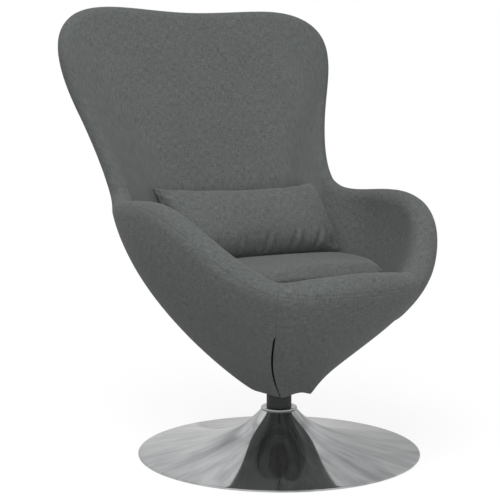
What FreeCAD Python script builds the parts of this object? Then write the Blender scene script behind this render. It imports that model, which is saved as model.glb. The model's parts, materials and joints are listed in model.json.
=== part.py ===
"""Swivel egg chair: upholstered bucket on a turning column with a trumpet base.

Millimetres, +Z up. The origin is on the floor under the column, and the chair faces -Y.
The bucket is one surface, swept between four closed loops: foot, belly, shoulder and rim.
Frame tubes lie on that surface, and foam, wadding and covers are layers at set depths around it.
"""
import FreeCAD, Part
import math
import os

V = FreeCAD.Vector

# General clearances, and how far a cutting tool goes past a face
FIT_GAP = 0.2
LAYER_GAP = 0.9
SEAM_GAP = 1.6
WELD_GAP = 0.6
RUNNING_GAP = 0.05
CUT_PAST = 1.0
BEYOND = 1500.0

# Trumpet base
BASE_RADIUS = 310.0
BASE_SHEET = 1.5
BASE_EDGE_TOP = 5.0
BASE_EDGE_BOTTOM = 1.5
NECK_GAP = 8.3
NECK_TOP = 98.0
FLARE_NEAR_NECK = (35.0, 41.7)
FLARE_NEAR_EDGE = (190.0, 29.0)
FLOOR_RING_WIDTH = 16.0
FLOOR_RING_HEIGHT = 4.0
PLATE_SHEET = 2.5
PLATE_EDGE_INSET = 24.0
PLATE_RISE = 10.0
PLATE_RISE_INNER = 100.0
PLATE_RISE_OUTER = 130.0

# Column
COLUMN_RADIUS = 25.0
COLUMN_WALL = 3.5
COLUMN_TOP = 252.0
HUB_WALL = 4.0
HUB_FLANGE_RADIUS = 70.0
HUB_FLANGE = 4.0
HUB_NECK_GAP = 3.0
PLUG_LENGTH = 20.0
COLUMN_BOLT_RADIUS = 6.0
COLUMN_BOLT_HEAD = (10.4, 7.5)
BOLT_WASHER_RADIUS = 18.0
BOLT_WASHER = 2.0
SLEEVE_WALL = 2.2
SLEEVE_BELOW_TOP = 20.0
COLLAR_HEIGHT = 6.0
COLLAR_OVERHANG = 1.0

# Swivel bearing
SPINDLE_RADIUS = 12.5
SPINDLE_END = 10.0
SPINDLE_FLANGE_RADIUS = 35.0
SPINDLE_FLANGE = 6.0
LOWER_BUSH_BOTTOM = 114.0
BUSH_LENGTH = 25.0
BUSH_FLANGE = 3.0
RACE = 2.0
RACE_BORE_GAP = 1.5
RACE_EDGE_INSET = 1.0
BALL_RADIUS = 2.5
BALL_COUNT = 12
CAGE = 2.0
CLIP = 1.5
CLIP_REACH = 5.5
CLIP_GROOVE_DEPTH = 2.0
CLIP_WASHER = 2.0

# Seat mounting
SEAT_PLATE_SIDE = 170.0
SEAT_PLATE = 4.0
PLATE_BOLT_RADIUS = 4.0
PLATE_BOLT_INSET = 20.0
PLATE_BOLT_HEAD = (7.5, 5.3)
TEE_WALL = 1.0
TEE_BARREL = 9.0
TEE_FLANGE_REACH = 5.5
TEE_FLANGE = 1.5
BOARD = 15.0

# Bent tube frame
HOOP_RADIUS = 8.0
RIB_RADIUS = 6.0
FOOT_RING_RADIUS = 5.0
SEAT_RING_WIDTH = 14.0
SEAT_RING_HEIGHT = 12.0
BOARD_SCREW_RADIUS = 2.5
BOARD_SCREW_BITE = 12.0
BOARD_SCREW_HEAD = (4.5, 2.5)
STRAP_WIDTH = 50.0
STRAP = 1.6
STRAP_HEIGHTS = (600.0, 690.0, 780.0)

# Upholstery layers
COVER = 2.5
FRAME_SPACE = 2.2
SEAM_ANGLE = 34.5
SLIT_WIDTH = 6.0
SLIT_TOP = 0.62
CORNER_PAST_LIP = 0.49
FOAM_REACH = 2.75
INNER_COVER_REACH = 2.72
DECK_BELOW_RIM = 23.0
DECK_COVER = 2.0
COVER_TUCK = 12.0

# Bucket surface: half thickness, foot ring and belly oval
HALF_THICK_FRONT = 34.0
HALF_THICK_BACK = 19.0
FOOT_RADIUS = 54.0
FOOT_HEIGHT = 168.0
BELLY_HALF_WIDTH = 156.0
BELLY_FRONT = 104.0
BELLY_REAR = 186.0
BELLY_FRONT_HEIGHT = 240.0
BELLY_REAR_HEIGHT = 272.0

# Bucket surface at places from front centre to top centre.
# Each has its rim point, its shoulder point, and its turn about the column in degrees.
PLACES = {
    "front_centre": ((0, -290, 397), (0, -248, 320), 0),
    "front_lip": ((112, -266, 391), (92, -230, 320), 20),
    "front_corner": ((213, -212, 417), (182, -190, 327), 39),
    "arm_front": ((293, -121, 502), (265, -130, 346), 58),
    "arm_crest": ((312, -8, 540), (308, -43, 366), 79),
    "arm_rear": ((310, 121, 536), (296, 78, 396), 102),
    "waist": ((273, 223, 569), (238, 184, 440), 122),
    "wing_low": ((294, 297, 703), (203, 252, 556), 136),
    "wing": ((328, 333, 808), (196, 290, 662), 147),
    "wing_top": ((332, 360, 911), (180, 314, 728), 156),
    "top_shoulder": ((226, 392, 963), (118, 326, 738), 168),
    "top_centre": ((0, 396, 955), (0, 330, 728), 180),
}
PLACE_AT = {name: index for index, name in enumerate(PLACES)}
TOP = len(PLACES) - 1
LOOP = 2 * TOP
CORNER_SEAM = PLACE_AT["front_lip"] + CORNER_PAST_LIP
WAIST_SEAM = PLACE_AT["waist"]
RIB_PLACES = ("front_corner", "arm_crest", "wing")
SCREW_PLACES = ("front_lip", "arm_front", "waist", "top_shoulder")
DECK_HEIGHT = PLACES["front_centre"][0][2] - DECK_BELOW_RIM

# How finely the curved layers and tubes follow the bucket, and how far the loops overlap their start
LOOP_OVERLAP = 6
LEG_ROWS = 21
LEG_CROWDING = 1.6
ROLL_ROWS = 13
COLUMNS_PER_PLACE = 8
FEWEST_COLUMNS = 5
HOOP_RINGS_PER_PLACE = 6
RIB_RINGS = 11
WELD_SEARCH = 60.0
WELD_SAMPLES = 81
STRAP_COLUMNS = 41
STRAP_ROWS = 5

# Seat cushion: stations from front to rear, each with its half width and how much thinner it is there
CUSHION_GAP = 0.5
CUSHION_THICK = 46.0
CUSHION_CROWN = 5.0
CUSHION_EDGE = 14.0
CUSHION_DRAWN_IN = 3.0
CUSHION_STATIONS = (
    (-186, 144, 24),
    (-176, 162, 12),
    (-130, 194, 2),
    (-40, 222, 0),
    (30, 219, 5),
    (80, 198, 18),
    (104, 172, 26),
    (116, 146, 32),
)

# Lumbar pillow: stations across its width, each with its half height, front bulge and rear bulge
PILLOW_BEHIND = 133.0
PILLOW_ABOVE_CUSHION = 74.9
PILLOW_LEAN = 33.0
PILLOW_STATIONS = (
    (0, 96, 50, 64),
    (95, 95, 47, 59),
    (168, 93, 36, 43),
    (205, 94, 16, 18),
    (217, 97, 5, 5),
)


def curve_through(points, parameters):
    curve = Part.BSplineCurve()
    curve.interpolate(Points=list(points), Parameters=[float(value) for value in parameters])
    return curve


def closed_loop(half):
    """A smooth closed curve through points of the right half and their mirror images.

    The points overlap at the start, so that the curve is as smooth there as elsewhere.
    """
    left = [V(-p.x, p.y, p.z) for p in half[-2:0:-1]]
    points = list(half) + left
    wrapped = points[-LOOP_OVERLAP:] + points + points[:LOOP_OVERLAP + 1]
    return curve_through(wrapped, range(-LOOP_OVERLAP, len(points) + LOOP_OVERLAP + 1))


def oval_point(turn, half_width, front, rear, front_height, rear_height):
    """A point of a tilted oval around the column, counted in degrees from the front."""
    side, ahead = math.sin(math.radians(turn)), math.cos(math.radians(turn))
    y = (rear - front) / 2 - (rear + front) / 2 * ahead
    z = (front_height + rear_height) / 2 + (front_height - rear_height) / 2 * ahead
    return V(half_width * side, y, z)


def bucket_loops():
    """The foot, belly, shoulder and rim loops."""
    foot, belly, shoulder, rim = [], [], [], []
    for rim_point, shoulder_point, turn in PLACES.values():
        foot.append(oval_point(turn, FOOT_RADIUS, FOOT_RADIUS, FOOT_RADIUS, FOOT_HEIGHT, FOOT_HEIGHT))
        belly.append(oval_point(turn, BELLY_HALF_WIDTH, BELLY_FRONT, BELLY_REAR,
                                BELLY_FRONT_HEIGHT, BELLY_REAR_HEIGHT))
        shoulder.append(V(*shoulder_point))
        rim.append(V(*rim_point))
    return [closed_loop(points) for points in (foot, belly, shoulder, rim)]


LOOPS = bucket_loops()
STEP = 1e-3


def middle(place, climb):
    """Point of the bucket's middle surface: place runs round the rim, climb from foot (0) to rim (1)."""
    foot, belly, shoulder, rim = (loop.value(place % LOOP) for loop in LOOPS)
    rest = 1 - climb
    low = foot * rest ** 3 + belly * (3 * rest * rest * climb)
    return low + shoulder * (3 * rest * climb * climb) + rim * climb ** 3


def directions(place, climb):
    """Unit vectors out of the bucket, and up the surface square to the rim's run."""
    along = middle(place + STEP, climb) - middle(place - STEP, climb)
    up = middle(place, min(climb + STEP, 1)) - middle(place, max(climb - STEP, 0))
    along.normalize()
    up = up - along * up.dot(along)
    up.normalize()
    return up.cross(along) * -1, up


def half_thickness(place):
    """Half the bucket's thickness, from the front's to the back's."""
    ahead = -LOOPS[0].value(place % LOOP).y / FOOT_RADIUS
    return (HALF_THICK_FRONT + HALF_THICK_BACK) / 2 + (HALF_THICK_FRONT - HALF_THICK_BACK) / 2 * ahead


def layer_point(place, path, offset):
    """Point at an offset from the middle surface.

    path goes up the outside (0 to 1), over the rolled rim (1 to 2) and down the inside (2 to 3).
    """
    climb = climb_of(path)
    out, up = directions(place, climb)
    if path <= 1:
        return middle(place, climb) + out * offset
    if path < 2:
        angle = math.pi * (path - 1)
        return middle(place, 1.0) + (out * math.cos(angle) + up * math.sin(angle)) * offset
    return middle(place, climb) - out * offset


def spread(low, high, count):
    return [low + (high - low) * i / (count - 1) for i in range(count)]


def path_rows(low, high):
    """Path values for a panel, closer together towards and on the rolled rim."""
    legs = [1 - (1 - share) ** LEG_CROWDING for share in spread(0, 1, LEG_ROWS)]
    rows = legs + spread(1, 2, ROLL_ROWS)[1:] + [3 - climb for climb in reversed(legs)][1:]
    inside = [row for row in rows if low < row < high]
    if inside and inside[0] - low < (inside[1] - inside[0]) / 2:
        inside = inside[1:]
    if inside and high - inside[-1] < (inside[-1] - inside[-2]) / 2:
        inside = inside[:-1]
    return [low] + inside + [high]


def solid_from(faces):
    """A closed solid from faces that meet edge to edge, with its volume positive."""
    shell = Part.Shell(faces)
    shell.sewShape()
    solid = Part.Solid(shell)
    if solid.Volume < 0:
        solid.reverse()
    return solid


def mean_distances(lines):
    """The distance of each point from the start of its line, as a mean over the lines."""
    distances = [0.0]
    for index in range(len(lines[0]) - 1):
        steps = [(line[index + 1] - line[index]).Length for line in lines]
        distances.append(distances[-1] + sum(steps) / len(steps))
    return distances


def surface_through(grid, along, across):
    """A smooth surface through a grid of points, with a parameter for each of its rows and columns."""
    rows = [curve_through(line, across) for line in grid]
    columns = [curve_through(line, along) for line in zip(*[row.getPoles() for row in rows])]
    surface = Part.BSplineSurface()
    surface.buildFromPolesMultsKnots(
        [list(line) for line in zip(*[column.getPoles() for column in columns])],
        columns[0].getMultiplicities(), rows[0].getMultiplicities(),
        columns[0].getKnots(), rows[0].getKnots(), False, False, columns[0].Degree, rows[0].Degree,
    )
    return surface


def slab(first, second):
    """The solid between two grids of points.

    They share their parameters, so that the rims between them are straight across.
    """
    across = mean_distances(first + second)
    along = mean_distances(list(zip(*first)) + list(zip(*second)))
    faces, borders = [], []
    for grid in (first, second):
        surface = surface_through(grid, along, across)
        u0, u1, v0, v1 = surface.bounds()
        faces.append(surface.toShape())
        borders.append((surface.uIso(u0), surface.uIso(u1), surface.vIso(v0), surface.vIso(v1)))
    for near, far in zip(*borders):
        faces.append(near.makeRuledSurface(far).toShape())
    return solid_from(faces)


def panel(start, end, low, high, outer, inner):
    """A layer of the bucket between two places, two path values and two offsets.

    start and end give the place for a path value, outer and inner the offset for a place.
    """
    rows = path_rows(low, high)
    count = max(FEWEST_COLUMNS, int(round((end(high) - start(high)) * COLUMNS_PER_PLACE)) + 1)
    grids = []
    for offset in (outer, inner):
        grid = []
        for share in spread(0, 1, count):
            column = []
            for row in rows:
                place = start(row) + (end(row) - start(row)) * share
                column.append(layer_point(place, row, offset(place)))
            grid.append(column)
        grids.append(grid)
    return slab(*grids)


def mirrored(shape):
    return shape.mirror(V(0, 0, 0), V(1, 0, 0))


def climb_of(path):
    return min(path, 1.0) if path < 2 else 3.0 - path


def place_step(place, climb, distance):
    """How far to go along the bucket, in places, for a distance there."""
    length = (middle(place + STEP, climb) - middle(place - STEP, climb)).Length / (2 * STEP)
    return distance / length


def level_climb(place, height, offset):
    """The climb at which the layer at an inward offset reaches a height."""
    low, high = 0.0, 1.0
    for _ in range(40):
        climb = (low + high) / 2
        out, _up = directions(place, climb)
        if (middle(place, climb) - out * offset).z < height:
            low = climb
        else:
            high = climb
    return low


def level_point(place, height, offset):
    climb = level_climb(place, height, offset)
    out, _up = directions(place, climb)
    point = middle(place, climb) - out * offset
    return V(point.x, point.y, height)


def level_wire(height, offset):
    """The bucket's closed outline at a height, at an inward offset."""
    curve = Part.BSplineCurve()
    places = [index / 2 for index in range(2 * LOOP)]
    points = [level_point(place, height, offset(place)) for place in places]
    curve.interpolate(Points=points, PeriodicFlag=True)
    return Part.Wire(curve.toShape())


def above(height):
    return Part.makeBox(2 * BEYOND, 2 * BEYOND, BEYOND, V(-BEYOND, -BEYOND, height))


def below(height):
    return Part.makeBox(2 * BEYOND, 2 * BEYOND, BEYOND, V(-BEYOND, -BEYOND, height - BEYOND))


def rod(radius, bottom, top, x=0.0, y=0.0):
    return Part.makeCylinder(radius, top - bottom, V(x, y, bottom))


def pipe(outer, inner, bottom, top):
    return rod(outer, bottom, top).cut(rod(inner, bottom - CUT_PAST, top + CUT_PAST))


def hexagon(radius, bottom, top, x=0.0, y=0.0):
    turns = [math.radians(60 * i) for i in range(7)]
    points = [V(x + radius * math.cos(a), y + radius * math.sin(a), bottom) for a in turns]
    return Part.Face(Part.makePolygon(points)).extrude(V(0, 0, top - bottom))


def revolve(points):
    """A turned solid from a closed outline of (radius, height) points."""
    outline = [V(r, 0, z) for r, z in points]
    face = Part.Face(Part.makePolygon(outline + outline[:1]))
    return face.revolve(V(0, 0, 0), V(0, 0, 1), 360)


def tube(centres, tangents, sides, radius):
    """A bent tube through circles at the given centres."""
    rings = []
    for centre, tangent, side in zip(centres, tangents, sides):
        ring = Part.makeCircle(radius)
        ring.Placement = FreeCAD.Placement(centre, FreeCAD.Rotation(side, V(0, 0, 0), tangent, "ZXY"))
        rings.append(Part.Wire(ring))
    return Part.makeLoft(rings, True, False)


# Heights that follow from the sizes above
PLATE_BOTTOM = FLOOR_RING_HEIGHT + PLATE_RISE
PLATE_TOP = PLATE_BOTTOM + PLATE_SHEET
HUB_BORE = COLUMN_RADIUS + FIT_GAP
HUB_RADIUS = HUB_BORE + HUB_WALL
HUB_TOP = NECK_TOP - HUB_NECK_GAP
NECK_RADIUS = HUB_RADIUS + NECK_GAP + BASE_SHEET
COLUMN_BORE = COLUMN_RADIUS - COLUMN_WALL
SLEEVE_BORE = COLUMN_RADIUS + FIT_GAP
SLEEVE_RADIUS = SLEEVE_BORE + SLEEVE_WALL
RACE_INNER = SPINDLE_RADIUS + RACE_BORE_GAP
RACE_OUTER = COLUMN_RADIUS - RACE_EDGE_INSET
RACE_BOTTOM = COLUMN_TOP + BUSH_FLANGE
BALL_HEIGHT = RACE_BOTTOM + RACE + BALL_RADIUS
UPPER_RACE_BOTTOM = BALL_HEIGHT + BALL_RADIUS + RUNNING_GAP
FLANGE_BOTTOM = UPPER_RACE_BOTTOM + RACE
SEAT_PLATE_BOTTOM = FLANGE_BOTTOM + SPINDLE_FLANGE
BOARD_BOTTOM = SEAT_PLATE_BOTTOM + SEAT_PLATE
BOARD_TOP = BOARD_BOTTOM + BOARD
PITCH_RADIUS = (RACE_INNER + RACE_OUTER) / 2
SEAT_RING_BOTTOM = BOARD_BOTTOM - SEAT_RING_HEIGHT
TEE_BARREL_RADIUS = PLATE_BOLT_RADIUS + TEE_WALL
TEE_FLANGE_RADIUS = TEE_BARREL_RADIUS + TEE_FLANGE_REACH
STRAP_OFFSET = RIB_RADIUS + FIT_GAP
FRAME_OFFSET = max(HOOP_RADIUS, STRAP_OFFSET + STRAP) + FRAME_SPACE
SEAM_PATH = 1 + SEAM_ANGLE / 180
CUSHION_BOTTOM = DECK_HEIGHT + DECK_COVER + CUSHION_GAP
CUSHION_TOP = CUSHION_BOTTOM + CUSHION_THICK


def skin_offset(place):
    return half_thickness(place)


def cover_offset(place):
    return half_thickness(place) - COVER


def foam_offset(place):
    return half_thickness(place) - COVER - LAYER_GAP


def frame_offset(place):
    return FRAME_OFFSET


def deck_edge(place):
    return half_thickness(place) + SEAM_GAP


# Base pieces
def flare(inset):
    """The trumpet's profile curve, moved inwards by the sheet's thickness where asked."""
    top = V(NECK_RADIUS - inset, 0, NECK_TOP)
    edge = V(BASE_RADIUS - inset, 0, BASE_EDGE_TOP - inset)
    near_top = V(top.x + FLARE_NEAR_NECK[0], 0, NECK_TOP - FLARE_NEAR_NECK[1] - inset)
    near_edge = V(edge.x - FLARE_NEAR_EDGE[0], 0, edge.z + FLARE_NEAR_EDGE[1])
    curve = Part.BezierCurve()
    curve.setPoles([top, near_top, near_edge, edge])
    return curve


def base_trumpet():
    outside, inside = flare(0.0), flare(BASE_SHEET)
    foot_outside = V(BASE_RADIUS, 0, BASE_EDGE_BOTTOM)
    foot_inside = V(BASE_RADIUS - BASE_SHEET, 0, BASE_EDGE_BOTTOM)
    edges = [
        outside.toShape(),
        Part.makeLine(outside.EndPoint, foot_outside),
        Part.makeLine(foot_outside, foot_inside),
        Part.makeLine(foot_inside, inside.EndPoint),
        inside.toShape(),
        Part.makeLine(inside.StartPoint, outside.StartPoint),
    ]
    return Part.Face(Part.Wire(Part.__sortEdges__(edges))).revolve(V(0, 0, 0), V(0, 0, 1), 360)


def base_pieces():
    plate_edge = BASE_RADIUS - BASE_SHEET - PLATE_EDGE_INSET
    bolt_hole = COLUMN_BOLT_RADIUS + FIT_GAP
    plate = revolve([
        (bolt_hole, PLATE_BOTTOM), (PLATE_RISE_INNER, PLATE_BOTTOM),
        (PLATE_RISE_OUTER, FLOOR_RING_HEIGHT), (plate_edge, FLOOR_RING_HEIGHT),
        (plate_edge, FLOOR_RING_HEIGHT + PLATE_SHEET), (PLATE_RISE_OUTER, FLOOR_RING_HEIGHT + PLATE_SHEET),
        (PLATE_RISE_INNER, PLATE_TOP), (bolt_hole, PLATE_TOP),
    ])
    hub = pipe(HUB_RADIUS, HUB_BORE, PLATE_TOP, HUB_TOP)
    hub = hub.fuse(pipe(HUB_FLANGE_RADIUS, HUB_BORE, PLATE_TOP, PLATE_TOP + HUB_FLANGE)).removeSplitter()
    plug_top = PLATE_TOP + PLUG_LENGTH
    washer_bottom = PLATE_BOTTOM - BOLT_WASHER
    head_radius, head_height = COLUMN_BOLT_HEAD
    bolt = hexagon(head_radius, washer_bottom - head_height, washer_bottom)
    bolt = bolt.fuse(rod(COLUMN_BOLT_RADIUS, washer_bottom, plug_top)).removeSplitter()
    collar_inner = SLEEVE_RADIUS + FIT_GAP
    collar_outer = NECK_RADIUS + COLLAR_OVERHANG
    collar = pipe(collar_outer, collar_inner, NECK_TOP, NECK_TOP + COLLAR_HEIGHT)
    crest = [edge for edge in collar.Edges if edge.Curve.TypeId == "Part::GeomCircle"
             and abs(edge.Curve.Radius - collar_outer) < FIT_GAP]
    collar = collar.makeFillet(COLLAR_HEIGHT / 2 - FIT_GAP, crest)
    return {
        "base_trumpet": base_trumpet(),
        "base_plate": plate,
        "floor_ring": pipe(plate_edge, plate_edge - FLOOR_RING_WIDTH, 0, FLOOR_RING_HEIGHT),
        "base_hub": hub,
        "column_tube": pipe(COLUMN_RADIUS, COLUMN_BORE, PLATE_TOP, COLUMN_TOP),
        "column_plug": pipe(COLUMN_BORE - RUNNING_GAP, COLUMN_BOLT_RADIUS + RUNNING_GAP, PLATE_TOP, plug_top),
        "column_bolt": bolt,
        "bolt_washer": pipe(BOLT_WASHER_RADIUS, bolt_hole, washer_bottom, PLATE_BOTTOM),
        "collar_ring": collar,
        "column_sleeve": pipe(SLEEVE_RADIUS, SLEEVE_BORE, HUB_TOP, COLUMN_TOP - SLEEVE_BELOW_TOP),
    }


# Swivel pieces
def ball_places():
    turns = [2 * math.pi * i / BALL_COUNT for i in range(BALL_COUNT)]
    return [(PITCH_RADIUS * math.cos(a), PITCH_RADIUS * math.sin(a)) for a in turns]


def swivel_pieces():
    bush_bore = SPINDLE_RADIUS + RUNNING_GAP
    bush_radius = COLUMN_BORE - RUNNING_GAP
    upper = pipe(bush_radius, bush_bore, COLUMN_TOP - BUSH_LENGTH, COLUMN_TOP + BUSH_FLANGE)
    upper = upper.fuse(pipe(COLUMN_RADIUS, bush_bore, COLUMN_TOP, COLUMN_TOP + BUSH_FLANGE)).removeSplitter()
    cage = pipe(RACE_OUTER, RACE_INNER, BALL_HEIGHT - CAGE / 2, BALL_HEIGHT + CAGE / 2)
    balls = []
    for x, y in ball_places():
        cage = cage.cut(rod(BALL_RADIUS + RUNNING_GAP, BALL_HEIGHT - CAGE, BALL_HEIGHT + CAGE, x, y))
        balls.append(Part.makeSphere(BALL_RADIUS, V(x, y, BALL_HEIGHT)))
    washer_top = LOWER_BUSH_BOTTOM - FIT_GAP
    clip_top = washer_top - CLIP_WASHER
    clip_radius = SPINDLE_RADIUS + CLIP_REACH
    groove = SPINDLE_RADIUS - CLIP_GROOVE_DEPTH
    spindle = rod(SPINDLE_RADIUS, clip_top - CLIP - SPINDLE_END, FLANGE_BOTTOM)
    spindle = spindle.cut(pipe(SPINDLE_RADIUS + CLIP, groove, clip_top - CLIP, clip_top))
    spindle = spindle.fuse(rod(SPINDLE_FLANGE_RADIUS, FLANGE_BOTTOM, SEAT_PLATE_BOTTOM)).removeSplitter()
    return {
        "lower_bush": pipe(bush_radius, bush_bore, LOWER_BUSH_BOTTOM, LOWER_BUSH_BOTTOM + BUSH_LENGTH),
        "upper_bush": upper,
        "thrust_race_lower": pipe(RACE_OUTER, RACE_INNER, RACE_BOTTOM, RACE_BOTTOM + RACE),
        "thrust_cage": cage,
        "thrust_balls": Part.Compound(balls),
        "thrust_race_upper": pipe(RACE_OUTER, RACE_INNER, UPPER_RACE_BOTTOM, FLANGE_BOTTOM),
        "spindle": spindle,
        "clip_washer": pipe(clip_radius, SPINDLE_RADIUS + FIT_GAP, clip_top, washer_top),
        "spindle_clip": pipe(clip_radius, groove + RUNNING_GAP, clip_top - CLIP, clip_top),
    }


# Seat mounting pieces
def bolt_places():
    half = SEAT_PLATE_SIDE / 2 - PLATE_BOLT_INSET
    return [(x, y) for x in (-half, half) for y in (-half, half)]


def around(names):
    """Places on the right half and their mirror images."""
    right = [PLACE_AT[name] for name in names]
    return right + [LOOP - place for place in reversed(right)]


def rib_side(place):
    """The inward offset of what stands against the ribs."""
    return RIB_RADIUS + FIT_GAP


def ring_inside(place):
    return rib_side(place) + SEAT_RING_WIDTH


def board_screws():
    """Vertical screws up through the seat ring into the board: a list of (x, y)."""
    points = []
    for place in around(SCREW_PLACES):
        point = level_point(place, SEAT_RING_BOTTOM, rib_side(place) + SEAT_RING_WIDTH / 2)
        points.append((point.x, point.y))
    return points


def mounting_pieces():
    half = SEAT_PLATE_SIDE / 2
    plate = Part.makeBox(SEAT_PLATE_SIDE, SEAT_PLATE_SIDE, SEAT_PLATE, V(-half, -half, SEAT_PLATE_BOTTOM))
    board = Part.Face(level_wire(BOARD_BOTTOM, rib_side)).extrude(V(0, 0, BOARD))
    ring = Part.Face(level_wire(SEAT_RING_BOTTOM, rib_side)).extrude(V(0, 0, SEAT_RING_HEIGHT))
    ring = ring.cut(Part.Face(level_wire(SEAT_RING_BOTTOM, ring_inside)).extrude(V(0, 0, SEAT_RING_HEIGHT)))
    bolts, nuts = [], []
    head_radius, head_height = PLATE_BOLT_HEAD
    barrel_bottom = BOARD_TOP - TEE_BARREL
    for x, y in bolt_places():
        bolt_hole = rod(PLATE_BOLT_RADIUS + FIT_GAP, SEAT_PLATE_BOTTOM - CUT_PAST, BOARD_BOTTOM, x, y)
        plate = plate.cut(bolt_hole)
        board = board.cut(rod(TEE_BARREL_RADIUS + RUNNING_GAP, BOARD_BOTTOM - CUT_PAST, BOARD_TOP, x, y))
        bolt = hexagon(head_radius, SEAT_PLATE_BOTTOM - head_height, SEAT_PLATE_BOTTOM, x, y)
        bolts.append(bolt.fuse(rod(PLATE_BOLT_RADIUS, SEAT_PLATE_BOTTOM, BOARD_TOP, x, y)).removeSplitter())
        nut = rod(TEE_BARREL_RADIUS, barrel_bottom, BOARD_TOP, x, y)
        nut = nut.fuse(rod(TEE_FLANGE_RADIUS, BOARD_TOP, BOARD_TOP + TEE_FLANGE, x, y)).removeSplitter()
        bore_top = BOARD_TOP + TEE_FLANGE + CUT_PAST
        nuts.append(nut.cut(rod(PLATE_BOLT_RADIUS + RUNNING_GAP, barrel_bottom - CUT_PAST, bore_top, x, y)))
    screws = []
    screw_top = BOARD_BOTTOM + BOARD_SCREW_BITE
    screw_head_radius, screw_head = BOARD_SCREW_HEAD
    for x, y in board_screws():
        hole = rod(BOARD_SCREW_RADIUS + RUNNING_GAP, SEAT_RING_BOTTOM - CUT_PAST, screw_top, x, y)
        board = board.cut(hole)
        ring = ring.cut(hole)
        screw = rod(screw_head_radius, SEAT_RING_BOTTOM - screw_head, SEAT_RING_BOTTOM, x, y)
        screws.append(screw.fuse(rod(BOARD_SCREW_RADIUS, SEAT_RING_BOTTOM, screw_top, x, y)).removeSplitter())
    return {
        "seat_plate": plate,
        "seat_board": board,
        "seat_ring": ring,
        "board_screws": Part.Compound(screws),
        "plate_bolts": Part.Compound(bolts),
        "tee_nuts": Part.Compound(nuts),
    }


# Frame pieces
def rim_tube(start, end):
    """A hoop along the rim between two places."""
    places = spread(start, end, int(round((end - start) * HOOP_RINGS_PER_PLACE)) + 1)
    centres = [middle(place, 1) for place in places]
    tangents = [middle(place + STEP, 1) - middle(place - STEP, 1) for place in places]
    sides = [directions(place, 1)[0] for place in places]
    return tube(centres, tangents, sides, HOOP_RADIUS)


def rib_ring(place, climb):
    """The centre of a rib at a climb, its run there, and the side of the bucket that it faces."""
    run = middle(place, climb + STEP / 2) - middle(place, climb - STEP / 2)
    return middle(place, climb), run, directions(place, climb)[0]


def clear_climb(place, line_climb, line_radius, step):
    """The climb at which a rib's end just clears the tube along the bucket's foot or rim."""
    reach = place_step(place, line_climb, WELD_SEARCH)
    span = spread(place - reach, place + reach, WELD_SAMPLES)
    line = [middle(other, line_climb) for other in span]
    climb = line_climb
    nearest = 0.0
    while nearest < line_radius + WELD_GAP:
        climb += step
        centre, run, side = rib_ring(place, climb)
        side = side - run * (side.dot(run) / run.dot(run))
        across = run.cross(side)
        side.normalize()
        across.normalize()
        turns = spread(0, 2 * math.pi, WELD_SAMPLES)
        edge = [centre + (side * math.cos(turn) + across * math.sin(turn)) * RIB_RADIUS for turn in turns]
        nearest = min((point - other).Length for point in edge for other in line)
    return climb


def rib(place):
    """A bent tube from the foot ring up to the hoop."""
    low = clear_climb(place, 0, FOOT_RING_RADIUS, STEP)
    high = clear_climb(place, 1, HOOP_RADIUS, -STEP)
    rings = [rib_ring(place, climb) for climb in spread(low, high, RIB_RINGS)]
    return tube(*zip(*rings), RIB_RADIUS)


def strap(height):
    """A webbing strap across the back at a height, on the inside of the ribs."""
    place = WAIST_SEAM
    while middle(place, 1).z < height + STRAP_WIDTH + 4 * HOOP_RADIUS:
        place += 0.05
    grids = []
    for offset in (STRAP_OFFSET, STRAP_OFFSET + STRAP):
        columns = spread(place, LOOP - place, STRAP_COLUMNS)
        levels = spread(height, height + STRAP_WIDTH, STRAP_ROWS)
        grids.append([[level_point(column, level, offset) for level in levels] for column in columns])
    return slab(*grids)


def frame_pieces():
    corner_gap = place_step(CORNER_SEAM, 1, WELD_GAP)
    waist_gap = place_step(WAIST_SEAM, 1, WELD_GAP)
    right_ribs = [rib(PLACE_AT[name]) for name in RIB_PLACES]
    ribs = right_ribs + [mirrored(shape) for shape in right_ribs] + [rib(TOP)]
    pieces = {
        "foot_ring": Part.makeTorus(FOOT_RADIUS, FOOT_RING_RADIUS, V(0, 0, FOOT_HEIGHT)),
        "frame_ribs": Part.Compound(ribs),
        "front_hoop": rim_tube(-CORNER_SEAM, CORNER_SEAM),
        "back_hoop": rim_tube(WAIST_SEAM + waist_gap, LOOP - WAIST_SEAM - waist_gap),
        "back_webbing": Part.Compound([strap(height) for height in STRAP_HEIGHTS]),
    }
    pieces.update(both_sides("arm_hoop", rim_tube(CORNER_SEAM + corner_gap, WAIST_SEAM)))
    return pieces


# Upholstery pieces
def seam_edge(place, side):
    """A panel's edge beside a seam: side is +1 for the panel past the seam and -1 for the one before it."""
    return lambda path: place + side * place_step(place, climb_of(path), SEAM_GAP) / 2


def slit_edge(side):
    """A panel's edge beside the corner seam, which opens into a slit towards the foot."""
    closed = seam_edge(CORNER_SEAM, side)

    def edge(path):
        share = max(0.0, 1 - path / SLIT_TOP)
        opening = place_step(CORNER_SEAM, climb_of(path), SLIT_WIDTH) / 2
        return closed(path) + side * opening * math.sin(math.pi / 2 * share)
    return edge


def mirrored_edge(edge):
    return lambda path: -edge(path)


def both_sides(name, shape):
    return {name + "_right": shape, name + "_left": mirrored(shape)}


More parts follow.
